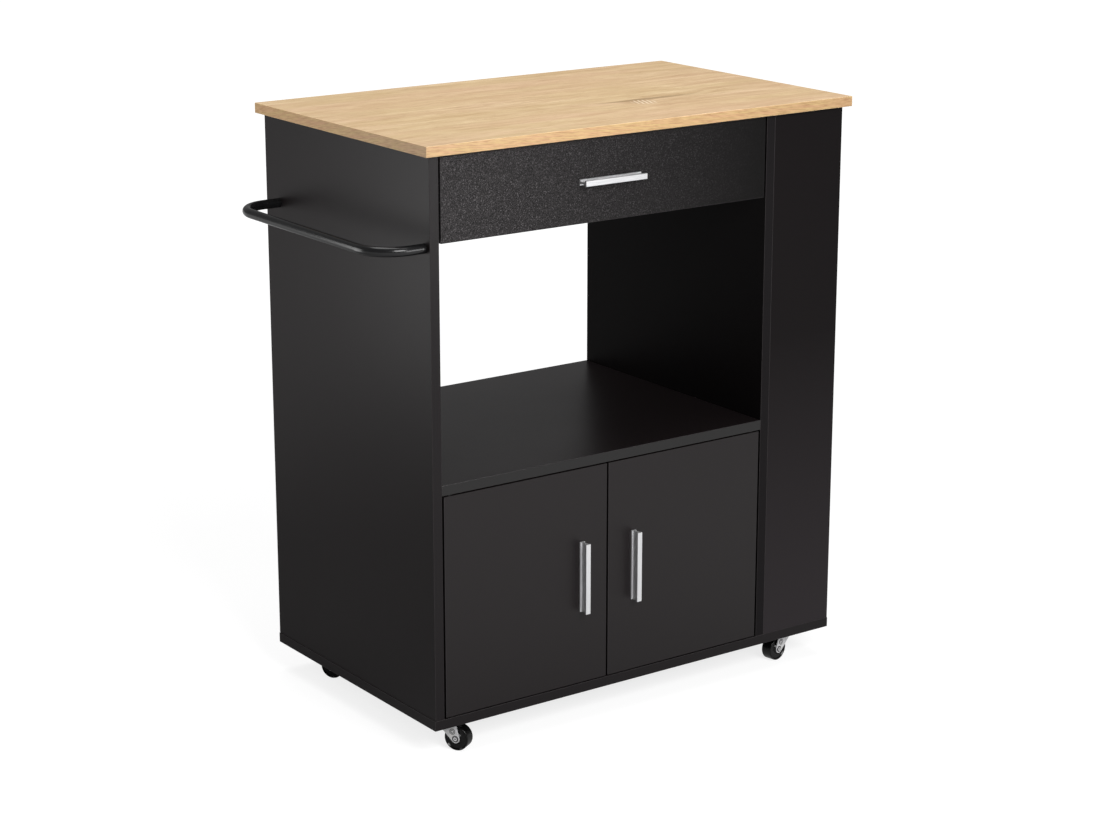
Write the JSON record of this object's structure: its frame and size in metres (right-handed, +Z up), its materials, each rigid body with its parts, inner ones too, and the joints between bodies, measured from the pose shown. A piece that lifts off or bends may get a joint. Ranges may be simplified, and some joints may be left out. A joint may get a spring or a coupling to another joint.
{
  "type": "kitchen cart",
  "caption": "Kitchen cart on swivel casters with a worktop, a drawer over an open niche, a two-door cupboard, a side shelf tower and a towel rail.",
  "frame": {"origin": "centre of the cart's footprint, with the towel rail and the handles, on the floor", "axes": "+X to the right and +Y to the back, seen from the front with the doors; +Z up"},
  "size_m": [0.82, 0.467, 0.88],
  "materials": {
    "oak_laminate": "satin",
    "black_melamine": "satin",
    "black_grained_melamine": "pebbled",
    "hardboard": "matt",
    "drawer_board": "satin",
    "aluminium": "brushed",
    "black_lacquer": "gloss",
    "zinc_plate": "zinc plated",
    "runner_coating": "satin",
    "nylon": "satin",
    "wheel_black": "gloss",
    "beech": "raw",
    "catch_case": "satin"
  },
  "bodies": {
    "carcass": {"base_board": "black_melamine", "base_screws": "zinc_plate", "cam_bolts": "zinc_plate", "cam_locks": "zinc_plate", "caster_plates": "zinc_plate", "cupboard_back_panel": "hardboard", "door_pivot_pins": "zinc_plate", "drawer_rear_rail": "black_melamine", "left_side_panel": "black_melamine", "magnetic_catches": "catch_case", "middle_shelf": "black_melamine", "partition_panel": "black_melamine", "runner_cabinet_left": "runner_coating", "runner_cabinet_right": "runner_coating", "top_board": "oak_laminate", "towel_rail": "black_lacquer", "towel_rail_bolts": "zinc_plate", "tower_back_panel": "black_melamine", "tower_front_panel": "black_melamine", "tower_guard_rails": "black_lacquer", "tower_shelf_1": "black_melamine", "tower_shelf_2": "black_melamine", "tower_shelf_3": "black_melamine", "wood_screws": "zinc_plate", "wooden_dowels": "beech"},
    "drawer": {"drawer_back": "drawer_board", "drawer_bottom": "hardboard", "drawer_dowels": "beech", "drawer_front": "black_grained_melamine", "drawer_handle": "aluminium", "drawer_handle_screws": "zinc_plate", "drawer_runner_screws": "zinc_plate", "drawer_side_left": "drawer_board", "drawer_side_right": "drawer_board", "runner_drawer_left": "runner_coating", "runner_drawer_right": "runner_coating"},
    "left_door": {"left_door": "black_melamine", "left_door_handle": "aluminium", "left_door_handle_screws": "zinc_plate", "left_door_strike_plate": "zinc_plate"},
    "front_roller_left": {"runner_front_roller_left": "nylon"},
    "rear_roller_left": {"runner_rear_roller_left": "nylon"},
    "right_door": {"right_door": "black_melamine", "right_door_handle": "aluminium", "right_door_handle_screws": "zinc_plate", "right_door_strike_plate": "zinc_plate"},
    "front_roller_right": {"runner_front_roller_right": "nylon"},
    "rear_roller_right": {"runner_rear_roller_right": "nylon"},
    "caster_front_left": {"caster_fork_front_left": "zinc_plate", "caster_axle_front_left": "zinc_plate"},
    "wheel_front_left": {"caster_wheel_front_left": "wheel_black"},
    "caster_front_right": {"caster_fork_front_right": "zinc_plate", "caster_axle_front_right": "zinc_plate"},
    "wheel_front_right": {"caster_wheel_front_right": "wheel_black"},
    "caster_rear_left": {"caster_fork_rear_left": "zinc_plate", "caster_axle_rear_left": "zinc_plate"},
    "wheel_rear_left": {"caster_wheel_rear_left": "wheel_black"},
    "caster_rear_right": {"caster_fork_rear_right": "zinc_plate", "caster_axle_rear_right": "zinc_plate"},
    "wheel_rear_right": {"caster_wheel_rear_right": "wheel_black"}
  },
  "joints": [
    {"name": "drawer_slide", "type": "slide", "parent": "carcass", "child": "drawer", "axis": [0, -1, 0], "range_m": [0, 0.3]},
    {"name": "front_roller_left_turn", "type": "hinge", "parent": "carcass", "child": "front_roller_left", "pos_m": [-0.315, -0.1845, 0.75885], "axis": [1, 0, 0], "range_deg": [0, 3130]},
    {"name": "rear_roller_left_turn", "type": "hinge", "parent": "drawer", "child": "rear_roller_left", "pos_m": [-0.315, 0.1695, 0.75885], "axis": [1, 0, 0], "range_deg": [0, 3130]},
    {"name": "front_roller_right_turn", "type": "hinge", "parent": "carcass", "child": "front_roller_right", "pos_m": [0.255, -0.1845, 0.75885], "axis": [1, 0, 0], "range_deg": [0, 3130]},
    {"name": "rear_roller_right_turn", "type": "hinge", "parent": "drawer", "child": "rear_roller_right", "pos_m": [0.255, 0.1695, 0.75885], "axis": [1, 0, 0], "range_deg": [0, 3130]},
    {"name": "left_door_hinge", "type": "hinge", "parent": "carcass", "child": "left_door", "pos_m": [-0.3, -0.209, 0.062], "axis": [0, 0, -1], "range_deg": [0, 120]},
    {"name": "right_door_hinge", "type": "hinge", "parent": "carcass", "child": "right_door", "pos_m": [0.24, -0.209, 0.062], "axis": [0, 0, 1], "range_deg": [0, 120]},
    {"name": "front_left_swivel", "type": "hinge", "parent": "carcass", "child": "caster_front_left", "pos_m": [-0.286, -0.1825, 0.0185], "axis": [0, 0, 1], "continuous": true},
    {"name": "front_left_wheel_roll", "type": "hinge", "parent": "caster_front_left", "child": "wheel_front_left", "pos_m": [-0.27825, -0.19592, 0.0185], "axis": [0.866, 0.5, 0], "continuous": true},
    {"name": "front_right_swivel", "type": "hinge", "parent": "carcass", "child": "caster_front_right", "pos_m": [0.334, -0.1825, 0.0185], "axis": [0, 0, 1], "continuous": true},
    {"name": "front_right_wheel_roll", "type": "hinge", "parent": "caster_front_right", "child": "wheel_front_right", "pos_m": [0.31873, -0.18519, 0.0185], "axis": [0.1736, -0.9848, 0], "continuous": true},
    {"name": "rear_left_swivel", "type": "hinge", "parent": "carcass", "child": "caster_rear_left", "pos_m": [-0.286, 0.1615, 0.0185], "axis": [0, 0, 1], "continuous": true},
    {"name": "rear_left_wheel_roll", "type": "hinge", "parent": "caster_rear_left", "child": "wheel_rear_left", "pos_m": [-0.27825, 0.14808, 0.0185], "axis": [0.866, 0.5, 0], "continuous": true},
    {"name": "rear_right_swivel", "type": "hinge", "parent": "carcass", "child": "caster_rear_right", "pos_m": [0.334, 0.1615, 0.0185], "axis": [0, 0, 1], "continuous": true},
    {"name": "rear_right_wheel_roll", "type": "hinge", "parent": "caster_rear_right", "child": "wheel_rear_right", "pos_m": [0.32058, 0.16925, 0.0185], "axis": [-0.5, -0.866, 0], "continuous": true}
  ],
  "couplings": [
    {"joint": "front_roller_left_turn", "follows": "drawer_slide", "rad_per_m": 181.82},
    {"joint": "rear_roller_left_turn", "follows": "drawer_slide", "rad_per_m": 181.82},
    {"joint": "front_roller_right_turn", "follows": "drawer_slide", "rad_per_m": 181.82},
    {"joint": "rear_roller_right_turn", "follows": "drawer_slide", "rad_per_m": 181.82}
  ]
}
